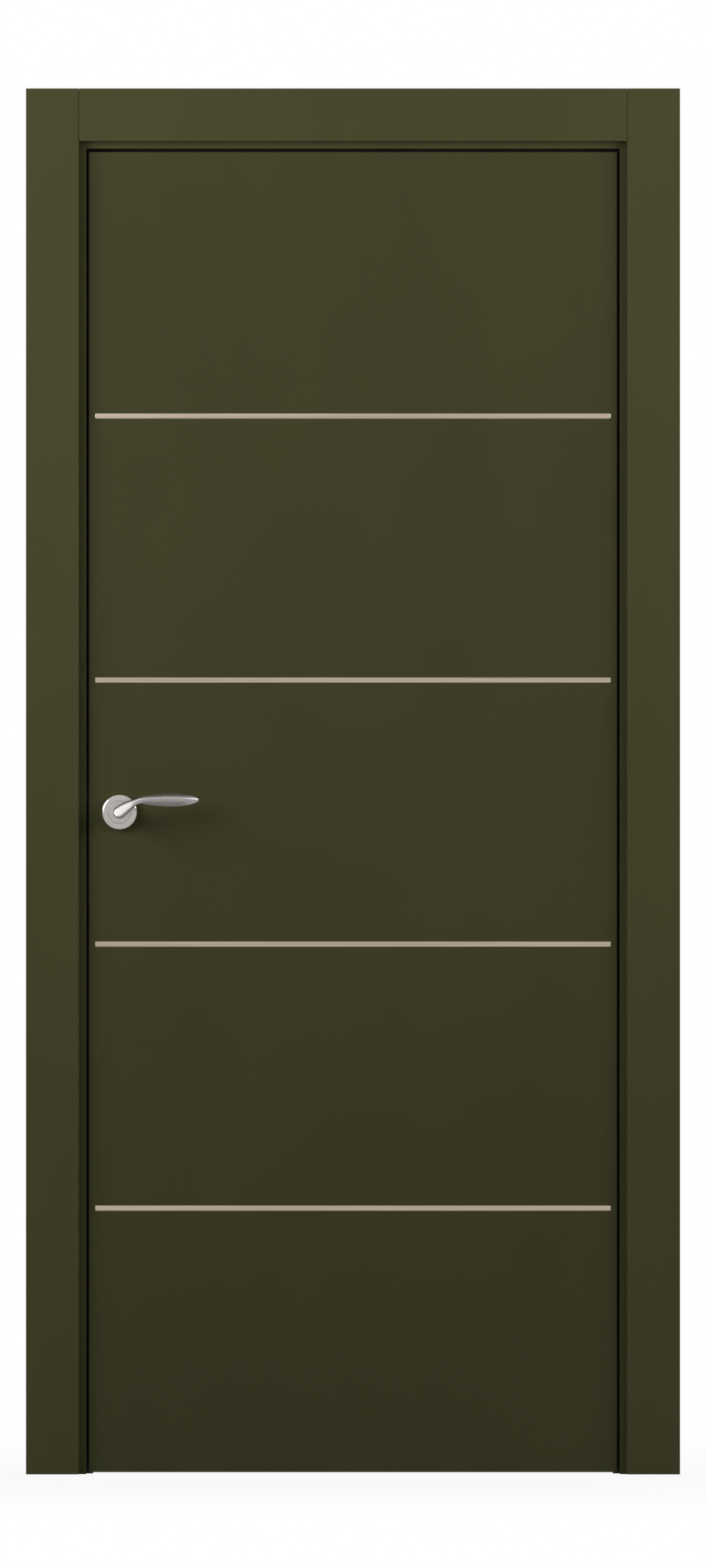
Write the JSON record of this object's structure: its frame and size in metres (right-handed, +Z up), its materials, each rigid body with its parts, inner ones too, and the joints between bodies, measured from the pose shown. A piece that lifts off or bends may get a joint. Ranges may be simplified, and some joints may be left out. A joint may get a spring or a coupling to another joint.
{
  "type": "interior door",
  "caption": "Flush olive interior door with inlaid metal strips, a lever latch set and concealed hinges, hung in a rebated frame with flat architraves.",
  "frame": {"origin": "on the floor at the middle of the door's width and thickness", "axes": "+Z up, +X from the lock side to the hinge side, -Y towards the pull side"},
  "size_m": [0.99, 0.152, 2.099],
  "materials": {
    "olive_lacquer": "matt olive lacquer",
    "core_wood": "raw board",
    "champagne_metal": "brushed champagne",
    "satin_metal": "satin",
    "hinge_metal": "satin",
    "plain_steel": "zinc plated",
    "bolt_nylon": "matt black",
    "seal_rubber": "matt"
  },
  "bodies": {
    "frame": {"lock_jamb": "olive_lacquer", "hinge_jamb": "olive_lacquer", "head_jamb": "olive_lacquer", "lock_seal": "seal_rubber", "hinge_seal": "seal_rubber", "head_seal": "seal_rubber", "front_left_architrave": "olive_lacquer", "front_right_architrave": "olive_lacquer", "front_head_architrave": "olive_lacquer", "back_left_architrave": "olive_lacquer", "back_right_architrave": "olive_lacquer", "back_head_architrave": "olive_lacquer", "corner_screws": "plain_steel", "strike_plate": "satin_metal", "strike_screws": "plain_steel", "upper_jamb_hinge_case": "hinge_metal", "lower_jamb_hinge_case": "hinge_metal", "jamb_hinge_pins": "plain_steel", "jamb_hinge_screws": "plain_steel"},
    "leaf": {"lock_stile": "olive_lacquer", "hinge_stile": "olive_lacquer", "top_rail": "core_wood", "bottom_rail": "core_wood", "tube_core": "core_wood", "front_skin": "olive_lacquer", "back_skin": "olive_lacquer", "front_strip_1": "champagne_metal", "front_strip_2": "champagne_metal", "front_strip_3": "champagne_metal", "front_strip_4": "champagne_metal", "back_strip_1": "champagne_metal", "back_strip_2": "champagne_metal", "back_strip_3": "champagne_metal", "back_strip_4": "champagne_metal", "upper_leaf_hinge_case": "hinge_metal", "lower_leaf_hinge_case": "hinge_metal", "leaf_hinge_pins": "plain_steel", "leaf_hinge_screws": "plain_steel", "latch_case": "plain_steel", "latch_cover": "plain_steel", "latch_forend": "satin_metal", "forend_screws": "plain_steel", "latch_spring": "plain_steel", "front_rose": "satin_metal", "back_rose": "satin_metal", "front_rose_base": "plain_steel", "back_rose_base": "plain_steel", "rose_bolts": "plain_steel"},
    "lever": {"front_lever": "satin_metal", "back_lever": "satin_metal", "spindle": "plain_steel", "grub_screws": "plain_steel", "latch_follower": "plain_steel"},
    "latch": {"latch_bolt": "bolt_nylon"},
    "jamb_arms": {"jamb_arms": "hinge_metal"},
    "jamb_links": {"jamb_links": "hinge_metal"},
    "leaf_arms": {"leaf_arms": "hinge_metal", "leaf_arm_pins": "plain_steel"},
    "leaf_links": {"leaf_links": "hinge_metal"}
  },
  "joints": [
    {"name": "leaf_swing", "type": "hinge", "parent": "frame", "child": "leaf", "pos_m": [0.402, -0.02, 1.003], "axis": [0, 0, 1], "range_deg": [0, 105]},
    {"name": "jamb_arm_turn", "type": "hinge", "parent": "frame", "child": "jamb_arms", "pos_m": [0.406, -0.006, 1.003], "axis": [0, 0, 1], "range_deg": [0, 105]},
    {"name": "jamb_link_turn", "type": "hinge", "parent": "frame", "child": "jamb_links", "pos_m": [0.412, -0.005, 1.003], "axis": [0, 0, 1], "range_deg": [0, 105]},
    {"name": "leaf_arm_turn", "type": "hinge", "parent": "leaf", "child": "leaf_arms", "pos_m": [0.398, -0.006, 1.003], "axis": [0, 0, 1], "range_deg": [-105, 0]},
    {"name": "leaf_link_turn", "type": "hinge", "parent": "leaf", "child": "leaf_links", "pos_m": [0.392, -0.005, 1.003], "axis": [0, 0, 1], "range_deg": [-105, 0]},
    {"name": "lever_turn", "type": "hinge", "parent": "leaf", "child": "lever", "pos_m": [-0.3535, 0, 1.003], "axis": [0, 1, 0], "range_deg": [0, 40], "stiffness_Nm_per_rad": 0.6, "springref_deg": -68.75},
    {"name": "latch_slide", "type": "slide", "parent": "leaf", "child": "latch", "axis": [1, 0, 0], "range_m": [0, 0.0115], "deforming": ["latch_spring"]}
  ],
  "couplings": [
    {"joint": "jamb_arm_turn", "follows": "leaf_swing", "ratio": 1},
    {"joint": "jamb_link_turn", "follows": "leaf_swing", "ratio": 1},
    {"joint": "leaf_arm_turn", "follows": "leaf_swing", "ratio": -1},
    {"joint": "leaf_link_turn", "follows": "leaf_swing", "ratio": -1},
    {"joint": "latch_slide", "follows": "lever_turn", "m_per_rad": 0.016401}
  ]
}
